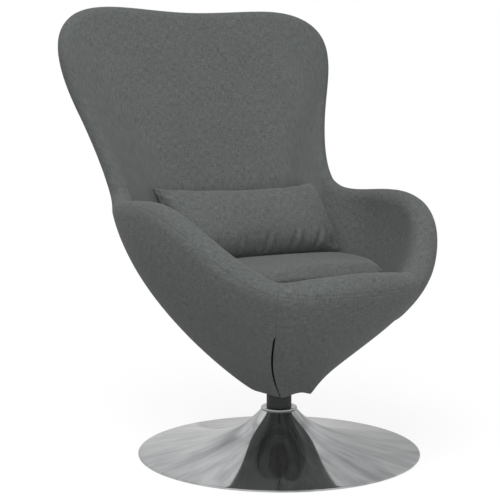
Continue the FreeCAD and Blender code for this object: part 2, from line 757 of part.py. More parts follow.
def upholstery_pieces():
    row_gap = SEAM_GAP / 2 / (math.pi * HALF_THICK_BACK)
    before_corner = seam_edge(CORNER_SEAM, -1)
    after_corner = seam_edge(CORNER_SEAM, 1)
    before_waist = seam_edge(WAIST_SEAM, -1)
    after_waist = seam_edge(WAIST_SEAM, 1)
    past_waist = seam_edge(LOOP - WAIST_SEAM, -1)
    back_seam = seam_edge(TOP, -1)
    spans = {
        "front": (mirrored_edge(before_corner), before_corner),
        "arm": (after_corner, before_waist),
        "back": (after_waist, past_waist),
    }
    foam, cover = {}, {}
    foam_floor = above(BOARD_TOP + FIT_GAP)
    cover_floor = above(DECK_HEIGHT - COVER_TUCK)
    for name, (start, end) in spans.items():
        filling = panel(start, end, 1, FOAM_REACH, foam_offset, frame_offset)
        foam[name] = filling.common(foam_floor)
        skin = panel(start, end, SEAM_PATH + row_gap, INNER_COVER_REACH, skin_offset, cover_offset)
        cover[name] = skin.common(cover_floor)
    front_slit = slit_edge(-1)
    side_slit = slit_edge(1)
    wadding_top = 1 - 2 * row_gap
    cover_top = SEAM_PATH - row_gap
    front_span = (mirrored_edge(front_slit), front_slit)
    side_span = (side_slit, back_seam)
    front_wadding = panel(*front_span, 0, wadding_top, foam_offset, frame_offset)
    side_wadding = panel(*side_span, 0, wadding_top, foam_offset, frame_offset)
    front_cover = panel(*front_span, 0, cover_top, skin_offset, cover_offset)
    side_cover = panel(*side_span, 0, cover_top, skin_offset, cover_offset)
    deck_outline = level_wire(DECK_HEIGHT, deck_edge)
    levels = (BOARD_TOP, (BOARD_TOP + DECK_HEIGHT) / 2, DECK_HEIGHT)
    block = [level_wire(level, deck_edge) for level in levels]
    seat_foam = Part.makeLoft(block, True, False)
    pocket_top = BOARD_TOP + TEE_FLANGE + FIT_GAP
    for x, y in bolt_places():
        seat_foam = seat_foam.cut(rod(TEE_FLANGE_RADIUS + FIT_GAP, BOARD_TOP, pocket_top, x, y))
    pieces = {
        "seat_foam": seat_foam,
        "front_foam": foam["front"],
        "back_foam": foam["back"],
        "front_wadding": front_wadding,
        "front_panel_cover": front_cover,
        "front_lip_cover": cover["front"],
        "inner_back_cover": cover["back"],
        "deck_cover": Part.Face(deck_outline).extrude(V(0, 0, DECK_COVER)),
    }
    pieces.update(both_sides("arm_foam", foam["arm"]))
    pieces.update(both_sides("side_wadding", side_wadding))
    pieces.update(both_sides("side_cover", side_cover))
    pieces.update(both_sides("inner_arm_cover", cover["arm"]))
    return pieces


# Loose cushions
def arc(first, through, last):
    return Part.Arc(first, through, last).toShape()


def cushion_section(y, half_width, thinner, inset):
    """One cross-section of the seat cushion: crowned top, sides drawn in at the seam, flat bottom."""
    a = half_width - inset
    thick = CUSHION_THICK - thinner
    middle_height = (CUSHION_BOTTOM + CUSHION_TOP) / 2
    top = middle_height + thick / 2 - inset
    bottom = middle_height - thick / 2 + inset
    crown = top + CUSHION_CROWN * thick / CUSHION_THICK
    edge = min(CUSHION_EDGE, thick / 2)
    seam = a - CUSHION_DRAWN_IN
    shoulder = a - edge
    quarter = (top - bottom) / 4

    def right(x, z):
        return V(x, y, z)

    def left(x, z):
        return V(-x, y, z)
    edges = [
        arc(right(seam, middle_height), right(a, middle_height + quarter), right(shoulder, top)),
        arc(right(shoulder, top), right(0, crown), left(shoulder, top)),
        arc(left(shoulder, top), left(a, middle_height + quarter), left(seam, middle_height)),
        arc(left(seam, middle_height), left(a, middle_height - quarter), left(shoulder, bottom)),
        Part.makeLine(left(shoulder, bottom), right(shoulder, bottom)),
        arc(right(shoulder, bottom), right(a, middle_height - quarter), right(seam, middle_height)),
    ]
    return Part.Wire(edges)


def cushion_body(inset):
    """The seat cushion's whole form, made smaller all round by an inset."""
    sections = []
    last = len(CUSHION_STATIONS) - 1
    for index, (y, half_width, thinner) in enumerate(CUSHION_STATIONS):
        shift = inset if index == 0 else -inset if index == last else 0.0
        sections.append(cushion_section(y + shift, half_width, thinner, inset))
    return Part.makeLoft(sections, True, False)


def pillow_section(x, half_height, front, rear, inset):
    """One cross-section of the pillow: two arcs that meet at the top and bottom seams."""
    top = V(x, 0, half_height - inset)
    bottom = V(x, 0, inset - half_height)
    return Part.Wire([
        arc(bottom, V(x, -front + inset, 0), top),
        arc(top, V(x, rear - inset, 0), bottom),
    ])


def pillow_body(inset):
    """The pillow's whole form, made smaller all round by an inset."""
    stations = [(-x, h, f, r) for x, h, f, r in reversed(PILLOW_STATIONS[1:])] + list(PILLOW_STATIONS)
    last = len(stations) - 1
    sections = []
    for index, (x, half_height, front, rear) in enumerate(stations):
        shift = inset if index == 0 else -inset if index == last else 0.0
        sections.append(pillow_section(x + shift, half_height, front, rear, inset))
    return Part.makeLoft(sections, True, False)


def leaned(shape):
    shape = shape.copy()
    shape.rotate(V(0, 0, 0), V(1, 0, 0), -PILLOW_LEAN)
    shape.translate(V(0, PILLOW_BEHIND, CUSHION_TOP + PILLOW_ABOVE_CUSHION))
    return shape


def cushion_pieces():
    middle_height = (CUSHION_BOTTOM + CUSHION_TOP) / 2
    case = cushion_body(0.0).cut(cushion_body(COVER))
    pillow_case = pillow_body(0.0).cut(pillow_body(COVER))
    front_half = Part.makeBox(2 * BEYOND, BEYOND, 2 * BEYOND, V(-BEYOND, -BEYOND, -BEYOND))
    rear_half = Part.makeBox(2 * BEYOND, BEYOND, 2 * BEYOND, V(-BEYOND, 0, -BEYOND))
    return {
        "seat_cushion_top": case.common(above(middle_height)),
        "seat_cushion_bottom": case.common(below(middle_height)),
        "seat_cushion_core": cushion_body(COVER),
        "pillow_front": leaned(pillow_case.common(front_half)),
        "pillow_back": leaned(pillow_case.common(rear_half)),
        "pillow_core": leaned(pillow_body(COVER)),
    }


def main():
    os.makedirs("parts", exist_ok=True)
    pieces = {}
    groups = (base_pieces, swivel_pieces, mounting_pieces, frame_pieces, upholstery_pieces, cushion_pieces)
    for group in groups:
        pieces.update(group())
    for name, shape in pieces.items():
        solids = shape.Solids
        print(name, len(solids), "solids", shape.isValid(), round(shape.Volume), "mm3")
        shape.exportStep("parts/" + name + ".step")


main()
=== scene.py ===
"""Swivel egg chair: linen bucket with a loose cushion and pillow, on a bright trumpet base."""
import bmesh
import bpy
import json
import math
import numpy as np
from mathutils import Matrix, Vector


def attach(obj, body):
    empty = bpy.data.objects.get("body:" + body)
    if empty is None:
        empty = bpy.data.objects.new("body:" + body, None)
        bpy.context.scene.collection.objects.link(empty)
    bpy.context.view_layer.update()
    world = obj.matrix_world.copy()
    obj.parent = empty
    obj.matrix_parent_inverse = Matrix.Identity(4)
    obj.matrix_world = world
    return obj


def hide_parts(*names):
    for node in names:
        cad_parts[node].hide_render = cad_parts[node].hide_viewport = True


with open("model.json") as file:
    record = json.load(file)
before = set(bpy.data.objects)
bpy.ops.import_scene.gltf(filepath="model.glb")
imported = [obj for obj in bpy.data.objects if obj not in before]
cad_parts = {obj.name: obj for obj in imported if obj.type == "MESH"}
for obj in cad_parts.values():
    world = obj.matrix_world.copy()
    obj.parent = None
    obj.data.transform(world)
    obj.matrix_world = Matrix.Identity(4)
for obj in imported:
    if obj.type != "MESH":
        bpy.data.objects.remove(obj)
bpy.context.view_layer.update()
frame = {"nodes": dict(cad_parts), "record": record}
scene = bpy.context.scene

MM = 0.001

# The bucket, in millimetres: at each place from front centre to top centre, its rim, its shoulder and its turn
# in degrees
PLACES = (
    ((0, -290, 397), (0, -248, 320), 0),
    ((112, -266, 391), (92, -230, 320), 20),
    ((213, -212, 417), (182, -190, 327), 39),
    ((293, -121, 502), (265, -130, 346), 58),
    ((312, -8, 540), (308, -43, 366), 79),
    ((310, 121, 536), (296, 78, 396), 102),
    ((273, 223, 569), (238, 184, 440), 122),
    ((294, 297, 703), (203, 252, 556), 136),
    ((328, 333, 808), (196, 290, 662), 147),
    ((332, 360, 911), (180, 314, 728), 156),
    ((226, 392, 963), (118, 326, 738), 168),
    ((0, 396, 955), (0, 330, 728), 180),
)
TOP = len(PLACES) - 1
LOOP = 2 * TOP
FOOT_RADIUS, FOOT_HEIGHT = 54, 168
BELLY_HALF_WIDTH, BELLY_FRONT, BELLY_REAR = 156, 104, 186
BELLY_FRONT_HEIGHT, BELLY_REAR_HEIGHT = 240, 272
THICK_FRONT, THICK_BACK = 34, 19
CORNER_SEAM, WAIST_SEAM = 1.49, 6
CREST_ANGLE, CREST_FRONT_DROP = 34.5, 20.0
DECK_TOP = 376
SLIT_TOP, SLIT_WIDTH, SLIT_BOW = 0.72, 3.6, 4.5
LIP_END, ARM_END, BACK_END = 2.62, 2.66, 2.72
CORNER_DIP, SLIT_SPREAD = 7, -13
FRONT_FLAP, SIDE_FLAP, FLAP_HEIGHT, FLAP_REACH = 9, 7, 70, 26

# How far from a seam the padding swells, a corner dips and a slit spreads, and where on the path the roll lies
SWELL_REACH, DIP_REACH, SPREAD_REACH = 22, 42, 55
ROLL_RISE, ROLL_FALL = (1.16, 1.5), (1.75, 2.2)
RIPPLE_SIZE, RIPPLE_HEIGHT, RIPPLE_EDGE = 95, 0.7, 60

# A panel's edge beside a seam: distance from the seam, and how far the cloth has turned in there
EDGE = ((0, -9), (0, -0.5), (0.25, -0.24), (0.7, -0.1), (1.6, -0.03), (3.5, 0.0))


def smooth_loop(half):
    """The closed smooth curve through points of the right half and their mirror images."""
    half = np.array(half, float)
    points = np.vstack([half, half[-2:0:-1] * (-1, 1, 1)])
    identity = np.eye(len(points))
    system = 4 * identity + np.roll(identity, 1, 0) + np.roll(identity, -1, 0)
    second = np.roll(points, -1, 0) - 2 * points + np.roll(points, 1, 0)
    return points, np.linalg.solve(system, 6 * second)


def on_loop(loop, place):
    points, bends = loop
    before = np.floor(place).astype(int)
    far = (place - before)[..., None]
    near = 1 - far
    i, j = before % LOOP, (before + 1) % LOOP
    chord = near * points[i] + far * points[j]
    return chord + ((near ** 3 - near) * bends[i] + (far ** 3 - far) * bends[j]) / 6


def bucket_loops():
    turns = np.radians([turn for _rim, _shoulder, turn in PLACES])
    side, ahead = np.sin(turns), np.cos(turns)
    heights = np.full(len(PLACES), FOOT_HEIGHT)
    foot = np.stack([FOOT_RADIUS * side, -FOOT_RADIUS * ahead, heights], 1)
    belly = np.stack([
        BELLY_HALF_WIDTH * side,
        (BELLY_REAR - BELLY_FRONT) / 2 - (BELLY_REAR + BELLY_FRONT) / 2 * ahead,
        (BELLY_FRONT_HEIGHT + BELLY_REAR_HEIGHT) / 2 + (BELLY_FRONT_HEIGHT - BELLY_REAR_HEIGHT) / 2 * ahead,
    ], 1)
    shoulder = [place[1] for place in PLACES]
    rim = [place[0] for place in PLACES]
    return [smooth_loop(points) for points in (foot, belly, shoulder, rim)]


LOOPS = bucket_loops()
STEP = 1e-3


def middle(place, climb):
    """Points of the bucket's middle surface, from foot (climb 0) to rim (climb 1)."""
    place, climb = np.broadcast_arrays(place, climb)
    foot, belly, shoulder, rim = (on_loop(loop, place) for loop in LOOPS)
    up = climb[..., None]
    rest = 1 - up
    return rest ** 3 * foot + 3 * rest ** 2 * up * belly + 3 * rest * up ** 2 * shoulder + up ** 3 * rim


def unit(vectors):
    return vectors / np.linalg.norm(vectors, axis=-1, keepdims=True)


def directions(place, climb):
    along = unit(middle(place + STEP, climb) - middle(place - STEP, climb))
    up = middle(place, climb + STEP) - middle(place, climb - STEP)
    up = unit(up - along * np.sum(up * along, -1, keepdims=True))
    return np.cross(along, up), up


def half_thickness(place):
    ahead = -on_loop(LOOPS[0], place)[..., 1] / FOOT_RADIUS
    return (THICK_FRONT + THICK_BACK) / 2 + (THICK_FRONT - THICK_BACK) / 2 * ahead


def skin(place, path, proud=0.0):
    """Points of the cover: path 0 to 1 goes up the outside, 1 to 2 over the rim and 2 to 3 down the inside."""
    place, path = np.broadcast_arrays(np.asarray(place, float), np.asarray(path, float))
    climb = np.where(path < 2, np.minimum(path, 1), 3 - path)
    out, up = directions(place, climb)
    angle = np.pi * np.clip(path - 1, 0, 1)[..., None]
    reach = (half_thickness(place) + proud)[..., None]
    return middle(place, climb) + reach * (out * np.cos(angle) + up * np.sin(angle))


def run_length(points, axis):
    """Length along rows of points, from nought at the first."""
    steps = np.linalg.norm(np.diff(points, axis=axis), axis=-1)
    return np.concatenate([np.zeros_like(np.take(steps, [0], axis)), np.cumsum(steps, axis)], axis)


def edge_lengths(total, count):
    """Lengths at which a panel's lines lie: close together at both edges and even between."""
    near = np.array([distance for distance, _depth in EDGE], float)
    inner = np.linspace(near[-1], total - near[-1], count + 2)[1:-1]
    return np.concatenate([near, inner, (total - near)[::-1]])


def crest(place):
    """The path of the seam along the rim: high on the arms and back, lower over the front."""
    ahead = (place + TOP) % LOOP - TOP
    return 1 + (CREST_ANGLE - CREST_FRONT_DROP * np.exp(-(ahead / 1.1) ** 2)) / 180


def level(path):
    return lambda place: np.full_like(place, path)


def panel_layout(start, end, low, high, spacing):
    """Places and paths of a panel's grid, with lengths from its lower and upper edges, in millimetres."""
    fine = np.linspace(0, 1, 81)
    near, far = start(np.ones(1)), end(np.ones(1))

    def spots(shares):
        nominal = near + (far - near) * shares
        path = low(nominal) + (high(nominal) - low(nominal)) * fine[:, None]
        return start(path) + (end(path) - start(path)) * shares, path
    place, path = spots(np.broadcast_to(fine, (81, 81)))
    points = skin(place, path)
    width = run_length(points, 1)[:, -1]
    height = run_length(points, 0)[-1]
    columns = max(8, int(width.max() / spacing))
    rows = max(8, int(height.max() / spacing))
    place, path = spots(np.stack([edge_lengths(total, columns) / total for total in width]))
    climb_run = run_length(skin(place, path), 0)
    places, paths, heights = [], [], []
    for column in range(place.shape[1]):
        run = climb_run[:, column]
        at = edge_lengths(run[-1], rows)
        places.append(np.interp(at, run, place[:, column]))
        paths.append(np.interp(at, run, path[:, column]))
        heights.append(np.stack([at, run[-1] - at], 1))
    return np.array(places), np.array(paths), np.array(heights)


def ripple(points, size, height):
    """Slow unevenness of stretched cloth."""
    x, y, z = (points[..., axis] / size for axis in range(3))
    waves = np.sin(2.1 * x + 1.3 * z) * np.cos(1.7 * y - 0.6 * x) + 0.6 * np.sin(3.7 * z - 2.9 * y + 1.0)
    return height * waves / 1.6


def new_piece(name, bm, body, material):
    mesh = bpy.data.meshes.new(name)
    bm.to_mesh(mesh)
    bm.free()
    mesh.shade_smooth()
    piece = bpy.data.objects.new(name, mesh)
    scene.collection.objects.link(piece)
    mesh.materials.append(material)
    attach(piece, body)
    return piece


def write_uv(mesh, name, values):
    """A UV map from one pair of lengths for each vertex, in metres."""
    layer = mesh.uv_layers.new(name=name)
    corner_vertex = np.empty(len(mesh.loops), dtype=np.int32)
    mesh.loops.foreach_get("vertex_index", corner_vertex)
    layer.data.foreach_set("uv", np.asarray(values, np.float32)[corner_vertex].ravel())


def smooth(values, low, high):
    share = np.clip((values - low) / (high - low), 0, 1)
    return share * share * (3 - 2 * share)


def cloth_panel(name, start, end, low, high, material, puff=2.0, sink=0.0, stitched=(), droop=None,
                dips=(0, 0), spread=(0, 0), spacing=9.0):
    """A sewn panel of the bucket between two edges and two paths, its borders turned in at the seams.

    dips draws the rolled rim in at the panel's first and last edges, and spread moves the cloth beside a slit.
    """
    place, path, heights = panel_layout(start, end, low, high, spacing)
    columns, rows = place.shape
    base = skin(place, path)
    across = run_length(base, 0)
    sides = np.stack([across, across[-1] - across], -1)
    depths = np.array([depth for _distance, depth in EDGE])
    turned_u = np.zeros(columns)
    turned_u[:len(depths)], turned_u[-len(depths):] = depths, depths[::-1]
    turned_v = np.zeros(rows)
    turned_v[:len(depths)], turned_v[-len(depths):] = depths, depths[::-1]
    turned = np.minimum(turned_u[:, None], turned_v[None, :])
    nearest = np.minimum(sides.min(-1), heights.min(-1))
    proud = turned + puff * (1 - np.exp(-nearest / SWELL_REACH)) - puff * 0.7 - sink
    on_roll = smooth(path, *ROLL_RISE) * (1 - smooth(path, *ROLL_FALL))
    by_slit = smooth(path, 0.0, 0.2) * (1 - smooth(path, SLIT_TOP - 0.12, SLIT_TOP + 0.03))
    for edge in (0, 1):
        proud = proud - dips[edge] * np.exp(-(sides[..., edge] / DIP_REACH) ** 2) * on_roll
        proud = proud + spread[edge] * np.exp(-(sides[..., edge] / SPREAD_REACH) ** 2) * by_slit
    uneven = ripple(base, RIPPLE_SIZE, RIPPLE_HEIGHT) * np.clip(nearest / RIPPLE_EDGE, 0, 1)
    points = skin(place, path, proud + uneven)
    if droop is not None:
        points = points + droop(sides, heights)
    bm = bmesh.new()
    bmesh.ops.create_grid(bm, x_segments=columns - 1, y_segments=rows - 1, size=0.5)
    cloth, seam = [], []
    centre = columns // 2
    for vertex in bm.verts:
        i = round((vertex.co.x + 0.5) * (columns - 1))
        j = round((vertex.co.y + 0.5) * (rows - 1))
        vertex.co = points[i, j] * MM
        cloth.append(((across[i, j] - across[centre, j]) * MM, heights[i, j, 0] * MM))
        from_seam = min([heights[i, j, edge] for edge in stitched] + [1000])
        seam.append((across[i, j] * MM, from_seam * MM))
    bm.normal_update()
    piece = new_piece(name, bm, "seat", material)
    write_uv(piece.data, "cloth", cloth)
    write_uv(piece.data, "seam", seam)
    return piece


def at_place(place):
    return lambda path: np.full_like(path, place)


def slit_edge(place, side, width):
    """A panel's edge along the corner seam. Below the slit's top it bows to the side and opens by a width."""
    def edge(path):
        share = np.clip(1 - path / SLIT_TOP, 0, 1)
        spot = np.full_like(path, place)
        climb = np.clip(path, 0, 1)
        pace = np.linalg.norm(middle(spot + STEP, climb) - middle(spot - STEP, climb), axis=-1) / (2 * STEP)
        opening = width * smooth(share, 0.0, 0.1) * (1 - 0.5 * smooth(share, 0.75, 1.0))
        return place + side * (SLIT_BOW * np.sin(np.pi * share) + opening) / pace
    return edge


def flap(amount, left, right):
    """Lets the hem hang a little lower towards the corners that end at a slit."""
    def droop(sides, heights):
        fade = np.clip(1 - heights[..., 0] / FLAP_HEIGHT, 0, 1) ** 2
        first, last = (np.exp(-(sides[..., edge] / FLAP_REACH) ** 2) for edge in (0, 1))
        near = left * first + right * last
        return np.stack([np.zeros_like(fade), np.zeros_like(fade), -amount * near * fade], -1)
    return droop


# Node groups and finishes
def group(name, inputs, outputs):
    tree = bpy.data.node_groups.new(name, "ShaderNodeTree")
    for kind, names in (("INPUT", inputs), ("OUTPUT", outputs)):
        for socket, socket_type in names:
            tree.interface.new_socket(name=socket, in_out=kind, socket_type="NodeSocket" + socket_type)
    return tree, tree.nodes.new("NodeGroupInput"), tree.nodes.new("NodeGroupOutput")


def add(tree, kind, **values):
    """A node with its settings, and its inputs set by name or linked where a socket is given."""
    node = tree.nodes.new("ShaderNode" + kind)
    links = values.pop("links", {})
    inputs = values.pop("inputs", {})
    for key, value in values.items():
        setattr(node, key, value)
    for key, value in inputs.items():
        node.inputs[key].default_value = value
    for key, socket in links.items():
        tree.links.new(socket, node.inputs[key])
    return node


def calc(tree, operation, first, second=None):
    node = tree.nodes.new("ShaderNodeMath")
    node.operation = operation
    for slot, value in enumerate((first, second)):
        if value is None:
            continue
        if isinstance(value, (int, float)):
            node.inputs[slot].default_value = value
        else:
            tree.links.new(value, node.inputs[slot])
    return node.outputs[0]


def streaks(tree, vector, stretch, detail):
    """Noise drawn out along one thread direction."""
    scaled = add(tree, "VectorMath", operation="MULTIPLY", links={0: vector})
    scaled.inputs[1].default_value = stretch
    noise = add(tree, "TexNoise", inputs={"Scale": 1.0, "Detail": detail},
                links={"Vector": scaled.outputs[0]})
    return noise.outputs["Fac"]


def linen_weave_group():
    """Warp and weft threads with slubs: a tone about 0.5 and a height about 0."""
    tree, given, result = group("linen_weave", [("Cloth", "Vector"), ("Pitch", "Float")],
                                [("Tone", "Float"), ("Height", "Float")])
    cloth = given.outputs["Cloth"]
    warp = streaks(tree, cloth, (430.0, 75.0, 1.0), 1.5)
    weft = streaks(tree, cloth, (70.0, 470.0, 1.0), 1.5)
    cloud = streaks(tree, cloth, (9.0, 9.0, 1.0), 2.0)
    threads = calc(tree, "ADD", calc(tree, "MULTIPLY", warp, 0.5), calc(tree, "MULTIPLY", weft, 0.5))
    tone = calc(tree, "ADD", calc(tree, "MULTIPLY", threads, 0.92), calc(tree, "MULTIPLY", cloud, 0.08))
    part = add(tree, "SeparateXYZ", links={0: cloth})
    waves = []
    for length in (part.outputs[0], part.outputs[1]):
        turns = calc(tree, "DIVIDE", length, given.outputs["Pitch"])
        waves.append(calc(tree, "SINE", calc(tree, "MULTIPLY", turns, 2 * math.pi)))
    over_under = calc(tree, "MULTIPLY", *waves)
    height = calc(tree, "ADD", calc(tree, "MULTIPLY", over_under, 0.35), threads)
    tree.links.new(tone, result.inputs["Tone"])
    tree.links.new(height, result.inputs["Height"])
    return tree


def stitch_row_group():
    """A row of stitches beside a seam: a mask for the thread, and a height that draws the cloth in."""
    tree, given, result = group("stitch_row", [("Seam", "Vector"), ("Distance", "Float"), ("Pitch", "Float")],
                                [("Thread", "Float"), ("Pull", "Float")])
    part = add(tree, "SeparateXYZ", links={0: given.outputs["Seam"]})
    off = calc(tree, "ABSOLUTE", calc(tree, "SUBTRACT", part.outputs[1], given.outputs["Distance"]))
    line = calc(tree, "SUBTRACT", 1.0, calc(tree, "MINIMUM", calc(tree, "DIVIDE", off, 0.0009), 1.0))
    pull = calc(tree, "SUBTRACT", 1.0, calc(tree, "MINIMUM", calc(tree, "DIVIDE", off, 0.0032), 1.0))
    phase = calc(tree, "FRACT", calc(tree, "DIVIDE", part.outputs[0], given.outputs["Pitch"]))
    dash = calc(tree, "LESS_THAN", phase, 0.68)
    tree.links.new(calc(tree, "MULTIPLY", line, dash), result.inputs["Thread"])
    tree.links.new(calc(tree, "MULTIPLY", pull, -1.0), result.inputs["Pull"])
    return tree


def mottle_group():
    """Fine and broad unevenness of a finish, about 0.5, with a fine height."""
    tree, given, result = group("mottle", [("Place", "Vector"), ("Fine", "Float"), ("Broad", "Float")],
                                [("Tone", "Float"), ("Height", "Float")])
    fine = add(tree, "TexNoise", inputs={"Detail": 4.0},
               links={"Vector": given.outputs["Place"], "Scale": given.outputs["Fine"]})
    broad = add(tree, "TexNoise", inputs={"Detail": 3.0},
                links={"Vector": given.outputs["Place"], "Scale": given.outputs["Broad"]})
    tone = calc(tree, "ADD", calc(tree, "MULTIPLY", fine.outputs["Fac"], 0.5),
                calc(tree, "MULTIPLY", broad.outputs["Fac"], 0.5))
    tree.links.new(tone, result.inputs["Tone"])
    tree.links.new(fine.outputs["Fac"], result.inputs["Height"])
    return tree


def painted_reflection_streaks_group():
    """Painted reflection: streaks of lighter and darker tone on a turned sheet, drawn out from its middle to
    its edge: a tone about 0.5.
    """
    tree, given, result = group("painted_reflection_streaks", [("Place", "Vector"), ("Fine", "Float"), ("Broad", "Float")],
                                [("Tone", "Float")])
    flat = add(tree, "VectorMath", operation="MULTIPLY", links={0: given.outputs["Place"]})
    flat.inputs[1].default_value = (1, 1, 0)
    round_about = add(tree, "VectorMath", operation="NORMALIZE", links={0: flat.outputs[0]})
    outwards = add(tree, "VectorMath", operation="LENGTH", links={0: flat.outputs[0]})
    along = add(tree, "CombineXYZ", links={2: outwards.outputs["Value"]})
    both = add(tree, "VectorMath", operation="ADD", links={0: round_about.outputs[0], 1: along.outputs[0]})
    fine = add(tree, "TexNoise", inputs={"Detail": 3.0},
               links={"Vector": both.outputs[0], "Scale": given.outputs["Fine"]})
    broad = add(tree, "TexNoise", inputs={"Detail": 2.0},
                links={"Vector": both.outputs[0], "Scale": given.outputs["Broad"]})
    tone = calc(tree, "ADD", calc(tree, "MULTIPLY", fine.outputs["Fac"], 0.35),
                calc(tree, "MULTIPLY", broad.outputs["Fac"], 0.65))
    tree.links.new(tone, result.inputs["Tone"])
    return tree


LINEN_WEAVE = linen_weave_group()
STITCH_ROW = stitch_row_group()
MOTTLE = mottle_group()
PAINTED_REFLECTION_STREAKS = painted_reflection_streaks_group()


def use_group(tree, group_tree, inputs=None, links=None):
    node = add(tree, "Group", node_tree=group_tree)
    for key, value in (inputs or {}).items():
        node.inputs[key].default_value = value
    for key, socket in (links or {}).items():
        tree.links.new(socket, node.inputs[key])
    return node


def ramp(tree, factor, low, high, dark, light):
    """A colour between dark and light as the factor goes from low to high."""
    share = add(tree, "MapRange", links={"Value": factor},
                inputs={"From Min": low, "From Max": high, "To Min": 0.0, "To Max": 1.0})
    mix = add(tree, "Mix", data_type="RGBA", links={"Factor": share.outputs["Result"]})
    colour_in = [socket for socket in mix.inputs if socket.type == "RGBA"]
    colour_in[0].default_value = (*dark, 1)
    colour_in[1].default_value = (*light, 1)
    return [socket for socket in mix.outputs if socket.type == "RGBA"][0]


def surface(name):
    material = bpy.data.materials.new(name)
    material.use_nodes = True
    tree = material.node_tree
    return material, tree, tree.nodes["Principled BSDF"]


def linen(name, dark, light, stitched):
    """Woven upholstery cloth, with a row of topstitching where asked."""
    material, tree, shader = surface(name)
    cloth = add(tree, "UVMap", uv_map="cloth")
    weave = use_group(tree, LINEN_WEAVE, {"Pitch": 0.0022}, {"Cloth": cloth.outputs["UV"]})
    colour = ramp(tree, weave.outputs["Tone"], 0.36, 0.64, dark, light)
    height = calc(tree, "MULTIPLY", weave.outputs["Height"], 0.00035)
    if stitched:
        seam = add(tree, "UVMap", uv_map="seam")
        row = use_group(tree, STITCH_ROW, {"Distance": 0.009, "Pitch": 0.0045}, {"Seam": seam.outputs["UV"]})
        thread = add(tree, "Mix", data_type="RGBA", links={"Factor": row.outputs["Thread"]})
        colour_in = [socket for socket in thread.inputs if socket.type == "RGBA"]
        tree.links.new(colour, colour_in[0])
        colour_in[1].default_value = (dark[0] * 0.75, dark[1] * 0.75, dark[2] * 0.75, 1)
        colour = [socket for socket in thread.outputs if socket.type == "RGBA"][0]
        height = calc(tree, "ADD", height, calc(tree, "MULTIPLY", row.outputs["Pull"], 0.0005))
    tree.links.new(colour, shader.inputs["Base Color"])
    bump = add(tree, "Bump", inputs={"Strength": 0.6, "Distance": 1.0}, links={"Height": height})
    tree.links.new(bump.outputs[0], shader.inputs["Normal"])
    shader.inputs["Roughness"].default_value = 0.92
    shader.inputs["Specular IOR Level"].default_value = 0.2
    shader.inputs["Sheen Weight"].default_value = 0.12
    shader.inputs["Sheen Roughness"].default_value = 0.45
    return material


def finish(name, dark, light, fine, broad, rough, metal=0.0, bump=0.0, specular=0.5):
    """A hard or plain finish: colour and gloss vary slightly over the surface."""
    material, tree, shader = surface(name)
    place = add(tree, "TexCoord")
    spots = use_group(tree, MOTTLE, {"Fine": fine, "Broad": broad}, {"Place": place.outputs["Object"]})
    tree.links.new(ramp(tree, spots.outputs["Tone"], 0.3, 0.7, dark, light), shader.inputs["Base Color"])
    gloss = add(tree, "MapRange", links={"Value": spots.outputs["Tone"]},
                inputs={"From Min": 0.3, "From Max": 0.7, "To Min": rough[0], "To Max": rough[1]})
    tree.links.new(gloss.outputs["Result"], shader.inputs["Roughness"])
    if bump:
        relief = add(tree, "Bump", inputs={"Strength": 0.5, "Distance": bump},
                     links={"Height": spots.outputs["Height"]})
        tree.links.new(relief.outputs[0], shader.inputs["Normal"])
    shader.inputs["Metallic"].default_value = metal
    shader.inputs["Specular IOR Level"].default_value = specular
    return material


def spun_chrome():
    """Polished sheet, turned on a former, with painted reflection streaks in its colour out from the neck."""
    material, tree, shader = surface("spun_chrome")
    place = add(tree, "TexCoord")
    # Painted reflection: the chrome's colour runs between darker and lighter along streaks that stand for
    # streaks of reflected light
    reflection_marks = use_group(tree, PAINTED_REFLECTION_STREAKS, {"Fine": 16.0, "Broad": 4.5}, {"Place": place.outputs["Object"]})
    tree.links.new(ramp(tree, reflection_marks.outputs["Tone"], 0.38, 0.56, (0.40, 0.407, 0.415), (0.60, 0.606, 0.613)),
                   shader.inputs["Base Color"])
    gloss = add(tree, "MapRange", links={"Value": reflection_marks.outputs["Tone"]},
                inputs={"From Min": 0.35, "From Max": 0.65, "To Min": 0.03, "To Max": 0.07})
    tree.links.new(gloss.outputs["Result"], shader.inputs["Roughness"])
    shader.inputs["Metallic"].default_value = 0.93
    return material


